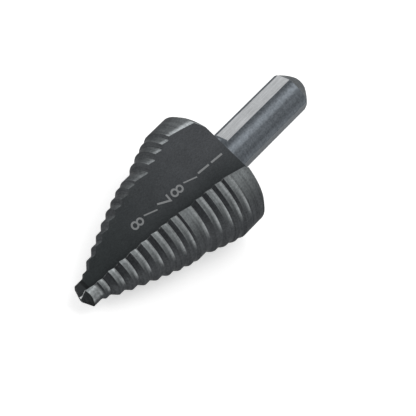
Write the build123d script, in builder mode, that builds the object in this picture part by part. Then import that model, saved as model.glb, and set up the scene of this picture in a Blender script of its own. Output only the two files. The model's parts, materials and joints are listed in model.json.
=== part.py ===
from build123d import *

import os
from math import cos, radians, sin, sqrt, tan

# A two-flute step drill with fourteen steps and a three-flat shank, in millimetres.
# It is modelled standing on its shank, with its axis on Z, the back of its head at z = 0 and
# the floor of its first flute facing +X. It is then laid down as it comes to rest.

# --- Driving dimensions ---

# Steps, from the point to the shank: cutting diameters and the lengths of their lands
pilot_diameter, pilot_land = 5.8, 2.4
second_diameter, second_land = 7.0, 1.2
narrow_land = 1.5
lower_diameters = (9.7, 12.0, 14.2, 16.3, 18.2, 19.9, 21.4)
first_hole_diameter, first_hole_land = 22.225, 3.0
upper_diameters = (24.4, 26.1, 27.5)
second_hole_diameter, second_hole_land = 28.575, 6.2
riser_angle = 45.0  # from the axis
riser_foot = 0.25  # an easing where each riser meets the land in front of it
back_chamfer = 1.0

# Relief: each lobe is turned about an axis of its own, off the drill's axis
relief_offset = 0.1
relief_direction = 65.0

# Point: a lip facet and a heel facet on each lobe
point_angle = 135.0
lip_relief = 18.0
heel_slope = 26.5
heel_turn = 100.0  # from the lip back to the way that the heel facet falls
heel_lift = 0.05

# Flutes: a flat floor that falls towards the point, and an undercut cutting face
flute_count = 2
floor_angle = 16.2
floor_turn = 2.0  # about the drill's axis, so that the floor lies lower at its heel
web = 1.0
web_length = 2.4
undercut = 20.4
skew = 13.3
flute_root_radius = 0.4
seam_direction = 30.0  # the middle of the flute, where the two lobes meet

# Shank: a round collar below the head, then the grip with its flats, and a crowned end
shank_diameter = 9.525
shank_length = 26.4
shank_root = 0.4
end_length = 2.7
end_diameter = 4.1
end_crown = 14.0  # the radius of the crowned end's profile
collar_length = 3.9
grip_diameter = 9.5
flat_count = 3
flat_depth = 0.29
flat_direction = 44.0
run_out_radius = 1.0
run_out_overlap = 0.1  # how far each flat's run-out reaches into the collar

# Rest: the axis falls towards the point, with one flute down and the other up
rest_fall = 12.15
rest_direction = 18.15  # the side of the standing drill that is then on top

# --- Sizes that follow ---

diameters = [pilot_diameter, second_diameter, *lower_diameters, first_hole_diameter]
diameters += [*upper_diameters, second_hole_diameter]
lands = [pilot_land, second_land] + [narrow_land] * len(lower_diameters) + [first_hole_land]
lands += [narrow_land] * len(upper_diameters) + [second_hole_land]
radii = [diameter / 2 for diameter in diameters]
last_step = len(radii) - 1
outer_radius = radii[last_step]
shank_radius = shank_diameter / 2

# Heights of both ends of each land above the back of the head
land_backs, land_fronts = [], []
height = 0.0
for step in reversed(range(len(radii))):
    land_backs.insert(0, height)
    height += lands[step]
    land_fronts.insert(0, height)
    if step > 0:
        height += (radii[step] - radii[step - 1]) / tan(radians(riser_angle))
lip_slope = 1 / tan(radians(point_angle / 2))
point_height = land_fronts[0] + radii[0] * lip_slope
reach = 2 * outer_radius + point_height  # how far the cutting solids run past the head
grip_radius = grip_diameter / 2
run_out_length = sqrt(run_out_radius**2 - (run_out_radius - flat_depth) ** 2)


def around(angle, distance=1.0, height=0.0):
    """The point at this angle about the drill's axis."""
    return Vector(distance * cos(radians(angle)), distance * sin(radians(angle)), height)


def falling(angle, slope, height):
    """A plane through the axis at this height that falls by this slope towards this angle."""
    return Plane(origin=(0, 0, height), z_dir=around(angle, slope, 1))


relief_axis = around(relief_direction, relief_offset)
edge_shift = relief_offset * cos(radians(relief_direction))

# --- Head: two cutting lobes, each turned about the axis of its own relief ---

with BuildPart() as lobe:
    section_plane = Plane(origin=relief_axis, x_dir=(1, 0, 0), z_dir=(0, -1, 0))
    with BuildSketch(section_plane) as section:
        with BuildLine():
            outline = [(0, 0), (outer_radius - edge_shift - back_chamfer, 0)]
            outline.append((outer_radius - edge_shift, back_chamfer))
            for step in reversed(range(len(radii))):
                if step < last_step:
                    outline.append((radii[step] - edge_shift, land_backs[step]))
                outline.append((radii[step] - edge_shift, land_fronts[step]))
            outline[-1] = (radii[0] - edge_shift, point_height)
            outline.append((0, point_height))
            Polyline(*outline, close=True)
        make_face()
        riser_feet = [
            corner
            for corner in section.vertices()
            if any(abs(corner.Y - back) < 1e-6 for back in land_backs[:last_step])
        ]
        chamfer(riser_feet, length=riser_foot)
    revolve(axis=Axis(relief_axis, (0, 0, 1)))
    seam = Plane(origin=(0, 0, 0), z_dir=around(seam_direction + 90))
    split(bisect_by=seam, keep=Keep.BOTTOM)

# --- One flute, as the solid that is ground away ---

cutting_face = Plane(
    origin=(0, 0, point_height),
    z_dir=(-tan(radians(undercut)), 1, -tan(radians(skew))),
)
with BuildPart() as flute:
    side_plane = Plane(origin=(0, 0, 0), x_dir=around(floor_turn), z_dir=around(floor_turn - 90))
    with BuildSketch(side_plane):
        with BuildLine():
            web_end = point_height - web_length
            floor_drop = tan(radians(floor_angle))
            Polyline(
                (web / 2, point_height + reach),
                (web / 2, web_end),
                (web / 2 + (web_end + reach) * floor_drop, -reach),
                (2 * reach, -reach),
                (2 * reach, point_height + reach),
                close=True,
            )
        make_face()
    extrude(amount=2 * reach, both=True)
    split(bisect_by=cutting_face, keep=Keep.TOP)
    root_edges = flute.edges().filter_by(
        lambda edge: all(abs(cutting_face.to_local_coords(edge @ end).Z) < 1e-6 for end in (0, 1))
    )
    fillet(root_edges.sort_by(Axis.X)[:2], radius=flute_root_radius)

# --- One shank flat, as the solid that is milled away ---

with BuildPart() as flat:
    with BuildSketch(Plane.XZ) as flat_section:
        with BuildLine():
            flat_start = run_out_overlap - collar_length - run_out_length + run_out_radius
            Polyline(
                (grip_radius - flat_depth, flat_start),
                (grip_radius - flat_depth, -shank_length - shank_radius),
                (shank_radius + 2 * run_out_radius, -shank_length - shank_radius),
                (shank_radius + 2 * run_out_radius, flat_start),
                close=True,
            )
        make_face()
        run_out = flat_section.vertices().group_by(Axis.X)[0].sort_by(Axis.Y)[-1]
        fillet(run_out, radius=run_out_radius)
    extrude(amount=shank_diameter, both=True)

# --- The whole drill, standing ---

with BuildPart() as standing:
    with PolarLocations(0, flute_count):
        add(lobe.part)
    for turn in range(flute_count):
        start = undercut + turn * 360 / flute_count
        lip_plane = Plane(
            origin=(0, 0, point_height),
            z_dir=around(start, lip_slope, 1) + around(start - 90, tan(radians(lip_relief))),
        )
        split(bisect_by=lip_plane, keep=Keep.BOTTOM)
        heel_plane = falling(start - heel_turn, tan(radians(heel_slope)), point_height + heel_lift)
        split(bisect_by=heel_plane, keep=Keep.BOTTOM)
    with PolarLocations(0, flute_count):
        add(flute.part, mode=Mode.SUBTRACT)
    with BuildSketch(Plane.XY):
        Circle(shank_radius)
    extrude(amount=-collar_length)
    root_circle = standing.edges().filter_by(GeomType.CIRCLE).filter_by(
        lambda edge: abs(edge.radius - shank_radius) < 1e-6 and abs(edge.center().Z) < 1e-6
    )
    chamfer(root_circle, length=shank_root)
    with BuildSketch(Plane.XZ):
        with BuildLine():
            grip = Polyline(
                (end_diameter / 2, -shank_length),
                (0, -shank_length),
                (0, -collar_length),
                (grip_radius, -collar_length),
                (grip_radius, end_length - shank_length),
            )
            RadiusArc(grip @ 1, grip @ 0, end_crown)
        make_face()
    revolve(axis=Axis.Z)
    with PolarLocations(0, flat_count, start_angle=flat_direction):
        add(flat.part, mode=Mode.SUBTRACT)

# --- The drill as it lies, centred over the origin on the surface ---

axis_way = Vector(cos(radians(rest_fall)), 0, -sin(radians(rest_fall)))
top_way = Vector(sin(radians(rest_fall)), 0, cos(radians(rest_fall)))
floor_way = top_way.rotate(Axis((0, 0, 0), axis_way), -rest_direction)
lying = Plane(origin=(0, 0, 0), x_dir=floor_way, z_dir=axis_way)
box = (lying.location * standing.part).bounding_box()
lying.origin = (-box.center().X, -box.center().Y, -box.min.Z)
with BuildPart(lying) as step_drill:
    add(standing.part)

step_drill.part.label = "step_drill"
os.makedirs("parts", exist_ok=True)
export_step(step_drill.part, "parts/step_drill.step")
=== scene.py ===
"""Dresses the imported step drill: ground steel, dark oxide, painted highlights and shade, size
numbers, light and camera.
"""

import json
import logging
import math
from collections.abc import Mapping, Sequence
from dataclasses import dataclass, field
from enum import Enum
from typing import Any

import bmesh
import bpy
from mathutils import Matrix, Vector

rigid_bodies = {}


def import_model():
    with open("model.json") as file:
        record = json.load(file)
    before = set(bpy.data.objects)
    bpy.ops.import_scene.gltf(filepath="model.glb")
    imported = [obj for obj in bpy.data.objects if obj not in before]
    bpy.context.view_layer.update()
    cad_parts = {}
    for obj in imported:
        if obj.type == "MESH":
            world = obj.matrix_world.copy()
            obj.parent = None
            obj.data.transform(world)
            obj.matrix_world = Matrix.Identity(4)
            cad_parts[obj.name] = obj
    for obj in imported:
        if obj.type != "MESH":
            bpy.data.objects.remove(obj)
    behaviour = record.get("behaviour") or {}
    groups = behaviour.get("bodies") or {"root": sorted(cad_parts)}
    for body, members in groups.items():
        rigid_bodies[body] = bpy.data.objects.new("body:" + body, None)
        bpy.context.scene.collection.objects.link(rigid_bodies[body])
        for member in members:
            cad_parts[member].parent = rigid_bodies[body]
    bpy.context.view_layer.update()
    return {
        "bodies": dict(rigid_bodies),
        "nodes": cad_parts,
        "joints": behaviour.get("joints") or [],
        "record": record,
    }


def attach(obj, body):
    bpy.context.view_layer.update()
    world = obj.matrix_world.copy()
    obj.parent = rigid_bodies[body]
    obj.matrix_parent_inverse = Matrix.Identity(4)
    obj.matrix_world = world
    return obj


MM = 0.001
NODE = "step_drill"
BODY = "root"

log = logging.getLogger("step_drill")


def level(shade: float) -> float:
    """Turns a display shade into a linear one.

    Args:
        shade: How light a tone looks on screen, from 0 to 255.

    Returns:
        The linear reflectance that displays as that shade.
    """
    share = shade / 255
    return share / 12.92 if share <= 0.04045 else ((share + 0.055) / 1.055) ** 2.4


@dataclass(frozen=True)
class Tone:
    """A surface colour, as display shades of red, green and blue."""

    red: float
    green: float
    blue: float

    def linear(self) -> tuple[float, float, float, float]:
        """Returns the colour as a shader socket takes it."""
        return (level(self.red), level(self.green), level(self.blue), 1.0)


# --- The drill's own sizes, in millimetres ---


@dataclass(frozen=True)
class Steps:
    """The stack of steps, from the point to the back of the head."""

    diameters: tuple[float, ...] = (
        5.8, 7.0, 9.7, 12.0, 14.2, 16.3, 18.2, 19.9, 21.4, 22.225, 24.4, 26.1, 27.5, 28.575,
    )
    lands: tuple[float, ...] = (2.4, 1.2, *(1.5,) * 7, 3.0, *(1.5,) * 3, 6.2)

    def bands(self) -> list[tuple[float, float]]:
        """Works out where each land lies.

        Returns:
            The back and the front height of every land above the back of the head.
        """
        found: list[tuple[float, float]] = []
        height = 0.0
        for index in reversed(range(len(self.lands))):
            found.append((height, height + self.lands[index]))
            height += self.lands[index]
            if index:
                height += (self.diameters[index] - self.diameters[index - 1]) / 2
        return found


@dataclass(frozen=True)
class Flute:
    """A flute's falling floor and its undercut cutting face, and the lobes' relief.

    The angles are in degrees. The web is the steel left between the two flutes at the point,
    and each lobe is round about an axis that lies off the drill's own.
    """

    floor_angle: float = 16.2
    floor_turn: float = 2.0
    web: float = 1.0
    web_end: float = 38.04
    point_height: float = 40.44
    undercut: float = 20.4
    skew: float = 13.3
    seam_direction: float = 30.0
    relief_offset: float = 0.1
    relief_direction: float = 65.0

    def facing(self) -> Vector:
        """Returns the way that the sloping floor faces."""
        tilt, turn = math.radians(self.floor_angle), math.radians(self.floor_turn)
        across = math.cos(tilt)
        return Vector((across * math.cos(turn), across * math.sin(turn), math.sin(tilt)))

    def on_floor(self, across: float, height: float) -> Vector:
        """Finds a point of the sloping floor.

        Args:
            across: How far the point is to the heel's side of the axis.
            height: Its height above the back of the head.

        Returns:
            The point.
        """
        turn = math.radians(self.floor_turn)
        out = self.web / 2 + (self.web_end - height) * math.tan(math.radians(self.floor_angle))
        return Vector(((out - across * math.sin(turn)) / math.cos(turn), across, height))


@dataclass(frozen=True)
class Shank:
    """The round shank and its three flats, with its lengths from the back of the head."""

    middle: float = 12.05
    flats_start: float = 4.1
    end_start: float = 23.7
    radius: float = 4.75
    flat_depth: float = 0.29
    flat_count: int = 3
    flat_direction: float = 44.0


@dataclass(frozen=True)
class Standing:
    """Where the standing drill's own axes are in the frame of the drill as it lies."""

    foot: Vector
    point_way: Vector
    floor_way: Vector

    @classmethod
    def from_record(cls, record: Mapping[str, Any], shank: Shank) -> "Standing":
        """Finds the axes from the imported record's mounts.

        Args:
            record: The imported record.
            shank: The shank's sizes.

        Returns:
            The axes, with their origin at the middle of the head's back.
        """
        mounts = {mount["name"]: mount for mount in record["mounts"]}
        point_way = -Vector(mounts["shank"]["axis"]).normalized()
        foot = Vector(mounts["shank"]["pos_m"]) + point_way * shank.middle * MM
        turn = Matrix.Rotation(-math.radians(shank.flat_direction), 3, point_way)
        floor_way = (turn @ Vector(mounts["shank_flat_1"]["axis"])).normalized()
        return cls(foot, point_way, floor_way)

    def place(self) -> Matrix:
        """Returns the matrix that takes standing millimetres to lying metres."""
        side_way = self.point_way.cross(self.floor_way)
        turn = Matrix((self.floor_way, side_way, self.point_way)).transposed().to_4x4()
        return Matrix.Translation(self.foot) @ turn @ Matrix.Scale(MM, 4)


# --- Shader graph ---


class Value:
    """One number that a shader works out at each point of a surface, with Python's arithmetic."""

    def __init__(self, graph: "Graph", socket: bpy.types.NodeSocket) -> None:
        """Wraps an output socket of this graph."""
        self.graph = graph
        self.socket = socket

    def _math(self, operation: str, *terms: "Value | float") -> "Value":
        """Adds a Math node.

        Args:
            operation: The node's operation.
            terms: Its inputs, in order.

        Returns:
            The node's result.
        """
        sockets = dict(enumerate(terms))
        return self.graph.value("ShaderNodeMath", {"operation": operation}, sockets)

    def __add__(self, other: "Value | float") -> "Value":
        """Returns the sum."""
        return self._math("ADD", self, other)

    __radd__ = __add__

    def __sub__(self, other: "Value | float") -> "Value":
        """Returns the difference."""
        return self._math("SUBTRACT", self, other)

    def __rsub__(self, other: float) -> "Value":
        """Returns the difference from a number."""
        return self._math("SUBTRACT", other, self)

    def __mul__(self, other: "Value | float") -> "Value":
        """Returns the product."""
        return self._math("MULTIPLY", self, other)

    __rmul__ = __mul__

    def __truediv__(self, other: "Value | float") -> "Value":
        """Returns the quotient."""
        return self._math("DIVIDE", self, other)

    def __rtruediv__(self, other: float) -> "Value":
        """Returns a number over this value."""
        return self._math("DIVIDE", other, self)

    def __neg__(self) -> "Value":
        """Returns the negative."""
        return self * -1.0

    def __abs__(self) -> "Value":
        """Returns the size without the sign."""
        return self._math("ABSOLUTE", self)

    def __mod__(self, other: float) -> "Value":
        """Returns the remainder, never below zero."""
        return self._math("FLOORED_MODULO", self, other)

    def sign(self) -> "Value":
        """Returns 1 above zero and -1 below it."""
        return self._math("SIGN", self)

    def cosine(self) -> "Value":
        """Returns the cosine of an angle in radians."""
        return self._math("COSINE", self)

    def root(self) -> "Value":
        """Returns the square root."""
        return self._math("SQRT", self)

    def turn_from(self, other: "Value") -> "Value":
        """Returns the angle of the point whose rise is this value and whose run is the other."""
        return self._math("ARCTAN2", self, other)

    def least(self, other: "Value | float") -> "Value":
        """Returns the smaller of the two."""
        return self._math("MINIMUM", self, other)

    def most(self, other: "Value | float") -> "Value":
        """Returns the larger of the two."""
        return self._math("MAXIMUM", self, other)

    def near(self, middle: float, reach: float) -> "Value":
        """Returns 1 where this value is within reach of the middle, and 0 elsewhere."""
        return self._math("COMPARE", self, middle, reach)

    def between(self, start: float, end: float) -> "Value":
        """Returns the start where this mask is 0 and the end where it is 1."""
        return self * (end - start) + start

    def rise(self, low: float, high: float) -> "Value":
        """Goes softly from 0 at one number to 1 at another.

        Args:
            low: Where the result is 0.
            high: Where the result is 1; it may be the lower number.

        Returns:
            The eased value.
        """
        return self.graph.value(
            "ShaderNodeMapRange",
            {"interpolation_type": "SMOOTHSTEP"},
            {"Value": self, "From Min": low, "From Max": high},
        )


class Graph:
    """A material's nodes."""

    def __init__(self, name: str) -> None:
        """Starts an empty material of this name."""
        self.material = bpy.data.materials.new(name)
        self.material.use_nodes = True
        self.tree = self.material.node_tree
        self.tree.nodes.clear()

    def node(
        self,
        kind: str,
        settings: Mapping[str, Any] | None = None,
        sockets: Mapping[str | int, Any] | None = None,
    ) -> bpy.types.Node:
        """Adds a node.

        Args:
            kind: The node's type.
            settings: Its own properties, which are set first.
            sockets: A number, a colour or a link for each input, by name, identifier or place.

        Returns:
            The node.
        """
        made = self.tree.nodes.new(kind)
        for name, setting in (settings or {}).items():
            setattr(made, name, setting)
        for key, given in (sockets or {}).items():
            target = self._input(made, key)
            if isinstance(given, Value):
                given = given.socket
            if isinstance(given, bpy.types.NodeSocket):
                self.tree.links.new(given, target)
            else:
                target.default_value = given
        return made

    @staticmethod
    def _input(node: bpy.types.Node, key: str | int) -> bpy.types.NodeSocket:
        """Returns the node's input of this place, identifier or name."""
        if isinstance(key, int):
            return node.inputs[key]
        by_identifier = {socket.identifier: socket for socket in node.inputs}
        return by_identifier.get(key) or node.inputs[key]

    def value(
        self,
        kind: str,
        settings: Mapping[str, Any] | None = None,
        sockets: Mapping[str | int, Any] | None = None,
        output: str | int = 0,
    ) -> Value:
        """Adds a node and returns one of its outputs.

        Args:
            kind: The node's type.
            settings: Its own properties.
            sockets: Its inputs.
            output: The name or place of the output.

        Returns:
            The output.
        """
        return Value(self, self.node(kind, settings, sockets).outputs[output])

    def vector(self, x: Value | float, y: Value | float, z: Value | float) -> Value:
        """Returns a vector of three values."""
        return self.value("ShaderNodeCombineXYZ", None, {"X": x, "Y": y, "Z": z})

    def speckle(self, where: Value, scale: float = 1.0, detail: float = 2.0) -> Value:
        """Adds noise.

        Args:
            where: The point that the noise is read at.
            scale: How many cells it has to each unit of that point.
            detail: How many finer layers it has.

        Returns:
            A value about one half.
        """
        sockets = {"Vector": where, "Scale": scale, "Detail": detail}
        return self.value("ShaderNodeTexNoise", {"noise_dimensions": "3D"}, sockets, "Fac")

    def blend(self, mask: Value, under: Any, over: Any) -> Value:
        """Mixes two colours.

        Args:
            mask: 0 for the colour underneath and 1 for the one on top.
            under: The colour underneath.
            over: The colour on top.

        Returns:
            The mixed colour.
        """
        made = self.node(
            "ShaderNodeMix",
            {"data_type": "RGBA"},
            {"Factor_Float": mask, "A_Color": under, "B_Color": over},
        )
        return Value(self, next(s for s in made.outputs if s.identifier == "Result_Color"))

    def shade(self, colour: Value, factor: Value) -> Value:
        """Returns a colour made lighter or darker by a factor."""
        made = self.node(
            "ShaderNodeVectorMath", {"operation": "SCALE"}, {0: colour, "Scale": factor}
        )
        return Value(self, made.outputs["Vector"])


# --- Finishes ---


class Region(Enum):
    """The kinds of surface that the drill is ground to, and painted highlights and shade, each
    laid over the ones before it.
    """

    DARK = "dark"
    RUBBED = "painted far side shading"
    LAND = "land"
    LINE = "line"
    HEEL = "heel"
    BACK = "back"
    SHANK = "shank"
    FLAT = "flat"
    END = "end"
    FLUTE = "flute"
    FAR_FLUTE = "painted flute shade"
    POINT = "point"
    EDGE = "edge"
    GASH = "gash"


@dataclass(frozen=True)
class Finish:
    """How one region looks: its colour and how sharply it reflects."""

    tone: Tone
    roughness: float


@dataclass(frozen=True)
class Surface:
    """The numbers that every mask is made from, in the standing drill's own millimetres.

    Besides the place itself there are the angle about the axis, how many degrees a point lies
    behind the middle of its flute, its distance from its own lobe's axis, and its heights
    over the planes of the flute's floor and of the cutting face.
    """

    x: Value
    y: Value
    z: Value
    radius: Value
    angle: Value
    behind: Value
    relieved: Value
    above_floor: Value
    in_front: Value

    @classmethod
    def read(cls, graph: Graph, standing: Standing, flute: Flute) -> "Surface":
        """Reads the surface in the standing drill's own millimetres.

        Args:
            graph: The material's graph.
            standing: Where the drill's own axes are.
            flute: The flute's sizes.

        Returns:
            Where each point of the surface is.
        """
        place, turn, scale = standing.place().inverted().decompose()
        rotation = turn.to_euler("XYZ")
        here = graph.value("ShaderNodeTexCoord", None, None, "Object")
        own = graph.value(
            "ShaderNodeMapping",
            {"vector_type": "POINT"},
            {"Vector": here, "Location": place, "Rotation": rotation, "Scale": scale},
            "Vector",
        )
        split = graph.node("ShaderNodeSeparateXYZ", None, {"Vector": own})
        x, y, z = (Value(graph, split.outputs[name]) for name in "XYZ")
        radius, angle, side = (x * x + y * y).root(), y.turn_from(x), x.sign()
        near_x, near_y = x * side, y * side
        facing, foot = flute.facing(), flute.on_floor(0.0, flute.web_end)
        fall = (z - flute.web_end).least(0.0) * facing.z
        above = near_x * facing.x + near_y * facing.y + fall - foot.x * facing.x
        seam, relief = math.radians(flute.seam_direction), math.radians(flute.relief_direction)
        lobe = (x * math.sin(seam) - y * math.cos(seam)).sign() * -flute.relief_offset
        own_x, own_y = x + lobe * math.cos(relief), y + lobe * math.sin(relief)
        lean, skew = math.tan(math.radians(flute.undercut)), math.tan(math.radians(flute.skew))
        front = near_y - near_x * lean - (z - flute.point_height) * skew
        return cls(
            x=x,
            y=y,
            z=z,
            radius=radius,
            angle=angle,
            behind=(angle * (-180.0 / math.pi)) % 180.0,
            relieved=(own_x * own_x + own_y * own_y).root(),
            above_floor=above,
            in_front=front / math.sqrt(1 + lean**2 + skew**2),
        )


@dataclass(frozen=True)
class Bounds:
    """Where each region fades in: the number where its mask is 0, and the one where it is 1.

    Turns about the axis are in degrees behind the flute's middle, wear is noise from 0 to 1,
    and the rest is in millimetres.
    """

    far_side_shading_turn: tuple[float, float] = (25.0, 60.0)
    lit_turn: tuple[float, float] = (52.0, 20.0)
    lip_turn: tuple[float, float] = (165.0, 172.0)
    heel_side_turn: tuple[float, float] = (92.0, 125.0)
    line_turn: tuple[float, float] = (62.0, 40.0)
    pilot_front: tuple[float, float] = (36.4, 36.8)
    heel_height: tuple[float, float] = (22.0, 3.0)
    heel_width: tuple[float, float] = (1.2, 0.3)
    back_radius: tuple[float, float] = (5.2, 5.3)
    edge_width: tuple[float, float] = (0.22, 0.04)
    edge_wear: tuple[float, float] = (0.45, 0.62)
    edge_height: tuple[float, float] = (0.1, 0.5)
    floor_skin: tuple[float, float] = (-0.05, -0.02)
    far_height: tuple[float, float] = (-4.0, 38.0)
    far_reach: tuple[float, float] = (9.5, 0.0)
    far_corner: tuple[float, float] = (0.03, 0.2)
    gash_height: tuple[float, float] = (38.9, 39.1)
    gash_width: tuple[float, float] = (0.42, 0.32)
    point_height: tuple[float, float] = (37.2, 37.4)
    point_radius: tuple[float, float] = (2.85, 2.83)
    shank_height: tuple[float, float] = (-0.01, -0.03)
    flat_skin: tuple[float, float] = (0.03, 0.02)
    under_flat: tuple[float, float] = (-2.6, -2.9)


@dataclass(frozen=True)
class Grain:
    """The marks that grinding and turning leave, as noise of so many cells a millimetre.

    Rings are given along the axis and round it, and strokes across the axis and along it. Each
    depth is how much that noise changes the shade, above the lowest shade.
    """

    fine_rings: tuple[float, float] = (7.0, 0.8)
    broad_rings: tuple[float, float] = (2.0, 0.5)
    strokes: tuple[float, float] = (9.0, 0.25)
    clouds: float = 0.25
    cloud_detail: float = 3.0
    specks: float = 2.4
    fine_depth: float = 0.4
    broad_depth: float = 1.1
    shank_share: float = 0.4
    lowest: float = 0.35
    mark_depth: float = 0.9
    cloud_depth: float = 0.4
    speck_depth: float = 1.1
    flat_speck_depth: float = 0.3

    def marks(self, graph: Graph, at: Surface, on_flat: Value, on_shank: Value) -> Value:
        """Makes rings on what is turned and straight strokes on what is ground flat.

        Args:
            graph: The material's graph.
            at: Where each point of the surface is.
            on_flat: A mask of the flute's faces and the shank's flats.
            on_shank: A mask of the shank, whose rings are fainter.

        Returns:
            A value about one half.
        """
        rings = self._rings(graph, at) * on_shank.between(1.0, self.shank_share) + 0.5
        across, along = self.strokes
        strokes = graph.speckle(graph.vector(at.x * across, at.y * across, at.z * along))
        return rings + (strokes - rings) * on_flat

    def shade(self, marks: Value, clouds: Value, specks: Value, on_flat: Value) -> Value:
        """Adds up how much lighter or darker the steel is at each point.

        Args:
            marks: The rings and strokes.
            clouds: Broad noise about one half.
            specks: Fine noise about one half.
            on_flat: A mask of the flute's faces and the shank's flats, with fainter specks.

        Returns:
            The factor for the colour.
        """
        depth = on_flat.between(self.speck_depth, self.flat_speck_depth)
        broad = marks * self.mark_depth + clouds * self.cloud_depth
        return self.lowest + broad + (specks - 0.5) * depth

    def _rings(self, graph: Graph, at: Surface) -> Value:
        """Makes the fine rings that turning and round grinding leave.

        Args:
            graph: The material's graph.
            at: Where each point of the surface is.

        Returns:
            Noise about zero that runs round the axis.
        """
        length = at.z - at.radius * at.z.sign()
        run, rise = at.x / at.radius, at.y / at.radius
        fine, broad = (
            graph.speckle(graph.vector(length * along, run * around, rise * around)) - 0.5
            for along, around in (self.fine_rings, self.broad_rings)
        )
        return fine * self.fine_depth + broad * self.broad_depth


@dataclass(frozen=True)
class DrillSteel:
    """Ground tool steel with dark oxide in the flutes and on the risers, and painted highlights
    and shade.

    The gap keeps each land's finish off the riser behind it. A line is a painted highlight along
    a land's rear edge, full over its core; the last land has one more.
    Each share scales one region's mask at one place.
    """

    steps: Steps = Steps()
    flute: Flute = Flute()
    shank: Shank = Shank()
    bounds: Bounds = Bounds()
    grain: Grain = Grain()
    land_gap: float = 0.05
    line_width: float = 0.9
    line_core: float = 0.1
    last_line: float = 4.7
    pilot_line_share: float = 0.7
    heel_side_share: float = 0.4
    corner_share: float = 0.85
    under_flat_share: float = 0.2
    back_skin: float = 0.02
    end_fade: float = 0.1
    wear_cells: float = 1.6
    wear_detail: float = 3.0
    metal: float = 0.5
    flat_metal: float = 0.1
    refraction: float = 1.05
    mirror_tint: float = 0.3
    roughness_change: float = 0.10
    mark_strength: float = 0.3
    mark_height: float = 0.02
    finishes: Mapping[Region, Finish] = field(
        default_factory=lambda: {
            Region.DARK: Finish(Tone(55, 57, 59), 0.48),
            # painted shading on the far side of each lobe
            Region.RUBBED: Finish(Tone(75, 77, 79), 0.46),
            # ground steel, painted as a highlight near the cutting edge by its mask
            Region.LAND: Finish(Tone(114, 118, 119), 0.36),
            # painted highlight at the lands' rears
            Region.LINE: Finish(Tone(150, 154, 155), 0.34),
            # painted highlight along the lands' heel edges
            Region.HEEL: Finish(Tone(150, 154, 156), 0.34),
            Region.BACK: Finish(Tone(90, 93, 94), 0.42),
            Region.SHANK: Finish(Tone(96, 101, 106), 0.30),
            # ground flats, raised to a light's brightness as a painted highlight
            Region.FLAT: Finish(Tone(184, 186, 188), 0.42),
            Region.END: Finish(Tone(112, 115, 117), 0.40),
            Region.FLUTE: Finish(Tone(85, 87, 90), 0.52),
            # painted shade of the flute floor
            Region.FAR_FLUTE: Finish(Tone(58, 62, 63), 0.52),
            Region.POINT: Finish(Tone(46, 48, 49), 0.42),
            Region.EDGE: Finish(Tone(118, 120, 121), 0.30),
            # painted highlight of the point's thinning notch
            Region.GASH: Finish(Tone(205, 207, 208), 0.35),
        }
    )

    def build(self, standing: Standing) -> bpy.types.Material:
        """Builds the material.

        Args:
            standing: Where the drill's own axes are.

        Returns:
            The material, ready for the drill's slot.
        """
        graph = Graph("ground_steel_painted_light")
        at = Surface.read(graph, standing, self.flute)
        here = graph.vector(at.x, at.y, at.z)
        masks = self._masks(graph, at, here)
        colour, roughness = self._layers(graph, masks)
        on_flat = masks[Region.FLUTE].most(masks[Region.FLAT])
        marks = self.grain.marks(graph, at, on_flat, masks[Region.SHANK])
        clouds = graph.speckle(here, self.grain.clouds, self.grain.cloud_detail)
        specks = graph.speckle(here, self.grain.specks)
        shade = self.grain.shade(marks, clouds, specks, on_flat)
        bump = graph.node(
            "ShaderNodeBump",
            None,
            {"Strength": self.mark_strength, "Distance": self.mark_height * MM, "Height": marks},
        )
        shader = graph.node(
            "ShaderNodeBsdfPrincipled",
            None,
            {
                "Base Color": graph.shade(colour, shade),
                # The flats are nearly non-metal so that their painted highlight shows.
                "Metallic": masks[Region.FLAT].between(self.metal, self.flat_metal),
                "IOR": self.refraction,
                "Specular Tint": (self.mirror_tint,) * 3 + (1.0,),
                "Roughness": roughness + (clouds - 0.5) * self.roughness_change,
                "Normal": bump.outputs["Normal"],
            },
        )
        graph.node("ShaderNodeOutputMaterial", None, {"Surface": shader.outputs["BSDF"]})
        return graph.material

    def _masks(self, graph: Graph, at: Surface, here: Value) -> dict[Region, Value]:
        """Finds each region of the surface.

        Args:
            graph: The material's graph.
            at: Where each point of the surface is.
            here: The same place as a vector.

        Returns:
            A mask for each region.
        """
        bounds = self.bounds
        on_land = self._any_of([self._in_band(at.z, band) for band in self._lands()])
        on_heel_side = at.behind.rise(*bounds.heel_side_turn)
        near_heel = (-at.above_floor).rise(*bounds.heel_width)
        # Painted highlight: the lands are light near the cutting edge and the lip, with a share
        # on the heel side, and fade dark behind; the light tone is ground steel.
        lit = at.behind.rise(*bounds.lit_turn).most(at.behind.rise(*bounds.lip_turn))
        bright = lit + (on_heel_side - lit) * on_heel_side * self.heel_side_share
        on_pilot = at.z.rise(*bounds.pilot_front) * self.pilot_line_share
        floor = at.above_floor.least(at.in_front).rise(*bounds.floor_skin)
        # Painted shade: the flute floor darkens towards the point and in the corner by the
        # cutting face.
        in_corner = at.in_front.rise(*bounds.far_reach) * at.in_front.rise(*bounds.far_corner)
        far = at.z.rise(*bounds.far_height).most(in_corner * self.corner_share)
        wear = graph.speckle(here, self.wear_cells, self.wear_detail)
        at_edge = abs(at.in_front).rise(*bounds.edge_width) * at.z.rise(*bounds.edge_height)
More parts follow.
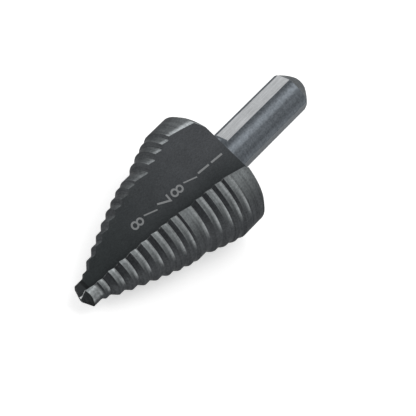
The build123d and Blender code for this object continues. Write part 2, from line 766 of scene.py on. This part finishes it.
        # Painted highlight: a bright strip on the floor by the point, for the lit facet of the
        # web's thinning notch, which is not modelled.
        at_gash = at.z.rise(*bounds.gash_height) * at.in_front.rise(*bounds.gash_width)
        at_back = at.z.near(0.0, self.back_skin) * at.radius.rise(*bounds.back_radius)
        at_point = at.z.rise(*bounds.point_height) * at.relieved.rise(*bounds.point_radius)
        end = -self.shank.end_start
        return {
            # Painted shading: the far side of each lobe, lighter than the risers by the cutting
            # edge and darker than the lit lands.
            Region.RUBBED: at.behind.rise(*bounds.far_side_shading_turn),
            Region.LAND: on_land * bright,
            # Painted highlight at the rear of each land and on the pilot, fading with the turn
            # behind the cutting edge.
            Region.LINE: self._at_rears(at.z).most(on_pilot) * at.behind.rise(*bounds.line_turn),
            # Painted highlight along each land's heel edge by the flute.
            Region.HEEL: on_land * near_heel * on_heel_side * at.z.rise(*bounds.heel_height),
            Region.BACK: at_back,
            Region.SHANK: at.z.rise(*bounds.shank_height),
            Region.FLAT: self._on_flats(at),
            Region.END: at.z.rise(end, end - self.end_fade),
            Region.FLUTE: floor,
            # Painted shade over the flute's own tone.
            Region.FAR_FLUTE: floor * far,
            Region.POINT: at_point,
            Region.EDGE: at_edge * wear.rise(*bounds.edge_wear) * (1.0 - floor),
            # Painted highlight.
            Region.GASH: floor * at_gash,
        }

    def _lands(self) -> list[tuple[float, float]]:
        """Returns the back and the front height of every land, from the last step on."""
        first, *others = self.steps.bands()
        return [first, *((back + self.land_gap, front) for back, front in others)]

    def _at_rears(self, z: Value) -> Value:
        """Returns a mask that is full at the rear of each land and fades in front of it."""
        masks: list[Value] = []
        for rear in [back for back, _ in self._lands()[1:]] + [self.last_line]:
            front = rear + self.line_width
            fade = z.rise(front, rear + self.line_width * self.line_core)
            masks.append(self._in_band(z, (rear, front)) * fade)
        return self._any_of(masks)

    def _on_flats(self, at: Surface) -> Value:
        """Finds the shank's flats, with painted shade that keeps the one underneath nearly as
        dark as the shank.

        Args:
            at: Where each point of the surface is.

        Returns:
            The mask.
        """
        shank, bounds = self.shank, self.bounds
        share = math.radians(360 / shank.flat_count)
        fold = (at.angle + share / 2 - math.radians(shank.flat_direction)) % share
        out_of_flat = at.radius * (fold - share / 2).cosine() - shank.radius
        on_flat = abs(out_of_flat + shank.flat_depth).rise(*bounds.flat_skin)
        start = -shank.flats_start
        # Painted shade: the flat underneath keeps only a share of the flats' light tone.
        lit = at.y.rise(*bounds.under_flat).between(1.0, self.under_flat_share)
        return at.z.rise(start + self.end_fade, start) * on_flat * lit

    @staticmethod
    def _in_band(value: Value, band: tuple[float, float]) -> Value:
        """Returns 1 where the value lies in the band, given as its low and its high end."""
        low, high = band
        return value.near((low + high) / 2, (high - low) / 2)

    @staticmethod
    def _any_of(masks: Sequence[Value]) -> Value:
        """Returns the largest of the masks at each point."""
        total, *others = masks
        for mask in others:
            total = total.most(mask)
        return total

    def _layers(self, graph: Graph, masks: Mapping[Region, Value]) -> tuple[Value, Value]:
        """Lays the regions over each other, in the order of their names.

        Args:
            graph: The material's graph.
            masks: Each region's mask.

        Returns:
            The colour and the roughness.
        """
        under = self.finishes[Region.DARK]
        colour: Any = under.tone.linear()
        roughness: Any = under.roughness
        for region in Region:
            if region is Region.DARK:
                continue
            finish, mask = self.finishes[region], masks[region]
            colour = graph.blend(mask, colour, finish.tone.linear())
            roughness = (finish.roughness - roughness) * mask + roughness
        return colour, roughness


# --- Etched numbers ---


@dataclass(frozen=True)
class SizeNumbers:
    """The hole sizes etched down the floor of the first flute, one figure under another.

    The head and the tail are the ends of the row on the floor, each as its distance to the
    heel's side of the axis and its height above the back of the head.
    """

    figures: tuple[str, ...] = ("1", "1", "/", "8", "7", "/", "8")
    height: float = 4.1
    pitch: float = 0.83
    depth: float = 0.02
    head: tuple[float, float] = (0.67, 1.35)
    tail: tuple[float, float] = (2.86, 23.87)
    curve_steps: int = 6
    weld: float = 0.0005
    fleck_cells: float = 4.0
    fleck_detail: float = 3.0
    tone: Tone = Tone(154, 156, 157)
    fleck_tone: Tone = Tone(138, 140, 141)
    shades: tuple[float, float] = (0.8, 1.2)
    roughness: tuple[float, float] = (0.5, 0.7)
    metal: float = 0.5

    def build(self, standing: Standing, flute: Flute) -> bpy.types.Object:
        """Makes the figures as one thin piece in the flute's floor.

        Args:
            standing: Where the drill's own axes are.
            flute: The flute's sizes.

        Returns:
            The piece.
        """
        mesh = self._flat_figures()
        head, tail, out = flute.on_floor(*self.head), flute.on_floor(*self.tail), flute.facing()
        up = (head - tail).normalized()
        turn = Matrix((up.cross(out), up, out)).transposed().to_4x4()
        work = bmesh.new()
        work.from_mesh(mesh)
        middle = self._middle(work)
        bmesh.ops.translate(work, verts=work.verts, vec=-middle)
        bmesh.ops.transform(work, matrix=turn, verts=work.verts)
        bmesh.ops.translate(work, verts=work.verts, vec=(head + tail) / 2)
        bmesh.ops.transform(work, matrix=standing.place(), verts=work.verts)
        bmesh.ops.remove_doubles(work, verts=work.verts, dist=self.weld * MM)
        bmesh.ops.recalc_face_normals(work, faces=work.faces)
        work.to_mesh(mesh)
        work.free()
        piece = bpy.data.objects.new("size_numbers", mesh)
        bpy.context.scene.collection.objects.link(piece)
        mesh.materials.clear()
        mesh.materials.append(self._etching())
        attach(piece, BODY)
        log.info("size_numbers: %d figures, %d faces", len(self.figures), len(mesh.polygons))
        return piece

    def _flat_figures(self) -> bpy.types.Mesh:
        """Returns the figures as a mesh, in millimetres, face up at the origin."""
        curve = bpy.data.curves.new("size_numbers_text", "FONT")
        curve.body = "\n".join(self.figures)
        curve.size = self.height
        curve.space_line = self.pitch
        curve.align_x = "CENTER"
        curve.extrude = self.depth
        curve.resolution_u = self.curve_steps
        text = bpy.data.objects.new("size_numbers_text", curve)
        bpy.context.scene.collection.objects.link(text)
        bpy.context.view_layer.update()
        mesh = bpy.data.meshes.new_from_object(text)
        bpy.data.objects.remove(text)
        bpy.data.curves.remove(curve)
        return mesh

    @staticmethod
    def _middle(work: bmesh.types.BMesh) -> Vector:
        """Returns the middle of the mesh's box, at half its thickness."""
        corners = [vert.co for vert in work.verts]
        low = Vector(min(co[i] for co in corners) for i in range(3))
        high = Vector(max(co[i] for co in corners) for i in range(3))
        return (low + high) / 2

    def _etching(self) -> bpy.types.Material:
        """Returns the bare, slightly uneven steel that etching leaves."""
        graph = Graph("etched_steel")
        here = graph.value("ShaderNodeTexCoord", None, None, "Object")
        fleck = graph.speckle(here, self.fleck_cells / MM, self.fleck_detail)
        colour = graph.blend(fleck, self.tone.linear(), self.fleck_tone.linear())
        shader = graph.node(
            "ShaderNodeBsdfPrincipled",
            None,
            {
                "Base Color": graph.shade(colour, fleck.between(*self.shades)),
                "Metallic": self.metal,
                "Roughness": fleck.between(*self.roughness),
            },
        )
        graph.node("ShaderNodeOutputMaterial", None, {"Surface": shader.outputs["BSDF"]})
        return graph.material


# --- Studio ---


@dataclass(frozen=True)
class SoftBox:
    """A rectangular soft light that looks at the drill, with its sizes in metres."""

    name: str
    way: tuple[float, float, float]
    width: float
    height: float
    glow: float
    distance: float = 0.9

    def build(self) -> bpy.types.Object:
        """Puts the light in the scene.

        Returns:
            The light's object.
        """
        lamp = bpy.data.lights.new(self.name, "AREA")
        lamp.shape = "RECTANGLE"
        lamp.size, lamp.size_y = self.width, self.height
        lamp.energy = self.glow * math.pi * self.width * self.height
        box = bpy.data.objects.new(self.name, lamp)
        way = Vector(self.way).normalized()
        box.location = way * self.distance
        box.rotation_euler = way.to_track_quat("Z", "Y").to_euler()
        bpy.context.scene.collection.objects.link(box)
        return box


@dataclass(frozen=True)
class Viewpoint:
    """The camera, placed about the standing drill in millimetres."""

    place: tuple[float, float, float] = (341.807, -4.950, 138.829)
    out: tuple[float, float, float] = (0.933497, 0.0, 0.358584)
    up: tuple[float, float, float] = (0.253961, 0.705979, -0.661134)
    lens: float = 155.77
    sensor: float = 36.0
    clip: tuple[float, float] = (0.01, 20.0)

    def build(self, standing: Standing) -> bpy.types.Object:
        """Puts the camera in the scene.

        Args:
            standing: Where the drill's own axes are.

        Returns:
            The camera's object.
        """
        whole = standing.place()
        turn = whole.to_quaternion().to_matrix()
        out, up = (turn @ Vector(way).normalized() for way in (self.out, self.up))
        axes = Matrix((up.cross(out), up, out)).transposed()
        data = bpy.data.cameras.new("camera")
        data.lens = self.lens
        data.sensor_width = self.sensor
        data.clip_start, data.clip_end = self.clip
        camera = bpy.data.objects.new("camera", data)
        camera.matrix_world = Matrix.Translation(whole @ Vector(self.place)) @ axes.to_4x4()
        bpy.context.scene.collection.objects.link(camera)
        bpy.context.scene.camera = camera
        return camera


@dataclass(frozen=True)
class Studio:
    """A white floor, soft light and the camera, with the floor's radius in metres."""

    world_glow: float = 0.48
    floor_radius: float = 4.0
    floor_segments: int = 96
    floor_tone: float = 0.86
    floor_cloud: float = 0.01
    floor_cells: float = 3.0
    floor_lift: float = 0.5
    lights: tuple[SoftBox, ...] = (
        SoftBox("overhead_light", (-0.17, 0.27, 0.95), 0.5, 0.5, 3.2),
        SoftBox("window_light", (-0.30, -0.90, 0.40), 0.8, 0.35, 2.6),
        SoftBox("side_light", (-0.25, 0.79, 0.56), 0.5, 0.3, 0.8),
    )
    viewpoint: Viewpoint = Viewpoint()

    def build(self, standing: Standing) -> None:
        """Puts the floor, the lights and the camera in the scene.

        Args:
            standing: Where the drill's own axes are.
        """
        self._floor()
        for light in self.lights:
            light.build()
        world = bpy.data.worlds.new("studio")
        world.use_nodes = True
        background = world.node_tree.nodes["Background"]
        background.inputs["Color"].default_value = (1.0, 1.0, 1.0, 1.0)
        background.inputs["Strength"].default_value = self.world_glow
        bpy.context.scene.world = world
        self.viewpoint.build(standing)
        bpy.context.scene.view_settings.view_transform = "Standard"
        log.info("studio: %d soft lights, a floor and a camera", len(self.lights))

    def _floor(self) -> bpy.types.Object:
        """Makes the pale floor that the drill lies on.

        Returns:
            The floor's object.
        """
        work = bmesh.new()
        bmesh.ops.create_circle(
            work, cap_ends=True, segments=self.floor_segments, radius=self.floor_radius
        )
        mesh = bpy.data.meshes.new("floor")
        work.to_mesh(mesh)
        work.free()
        mesh.materials.append(self._paper())
        floor = bpy.data.objects.new("floor", mesh)
        bpy.context.scene.collection.objects.link(floor)
        return floor

    def _paper(self) -> bpy.types.Material:
        """Returns the floor's matt white, lifted towards plain white where it is seen."""
        graph = Graph("pale_floor")
        here = graph.value("ShaderNodeTexCoord", None, None, "Object")
        cloud = graph.speckle(here, self.floor_cells)
        dim, pale = (
            (self.floor_tone * (1.0 + change),) * 3 + (1.0,)
            for change in (-self.floor_cloud, self.floor_cloud)
        )
        black, white = (0.0, 0.0, 0.0, 1.0), (1.0, 1.0, 1.0, 1.0)
        path = graph.node("ShaderNodeLightPath")
        seen, mirrored, through = (
            Value(graph, path.outputs[f"Is {ray} Ray"])
            for ray in ("Camera", "Glossy", "Transmission")
        )
        paper = graph.node(
            "ShaderNodeBsdfPrincipled",
            None,
            {
                "Base Color": graph.blend(cloud, dim, pale),
                "Roughness": 1.0,
                "IOR": 1.0,
                "Emission Color": graph.blend(seen.most(mirrored).most(through), black, white),
                "Emission Strength": self.floor_lift,
            },
        )
        graph.node("ShaderNodeOutputMaterial", None, {"Surface": paper.outputs["BSDF"]})
        return graph.material


@dataclass(frozen=True)
class DressedDrill:
    """The drill itself, with its finish and its etched numbers."""

    steel: DrillSteel = DrillSteel()
    numbers: SizeNumbers = SizeNumbers()

    def build(self, frame: Mapping[str, Any], standing: Standing) -> None:
        """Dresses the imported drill.

        Args:
            standing: Where the drill's own axes are.
        """
        drill = frame["nodes"][NODE]
        material = self.steel.build(standing)
        for slot in drill.material_slots:
            slot.material = material
        log.info("%s: %d triangles, ground steel", NODE, len(drill.data.polygons))
        self.numbers.build(standing, self.steel.flute)


def main() -> None:
    """Loads the frame, dresses the drill and lights it."""
    logging.basicConfig(level=logging.INFO, format="%(name)s: %(message)s")
    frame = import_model()
    dressed = DressedDrill()
    standing = Standing.from_record(frame["record"], dressed.steel.shank)
    dressed.build(frame, standing)
    Studio().build(standing)


if __name__ == "__main__":
    main()
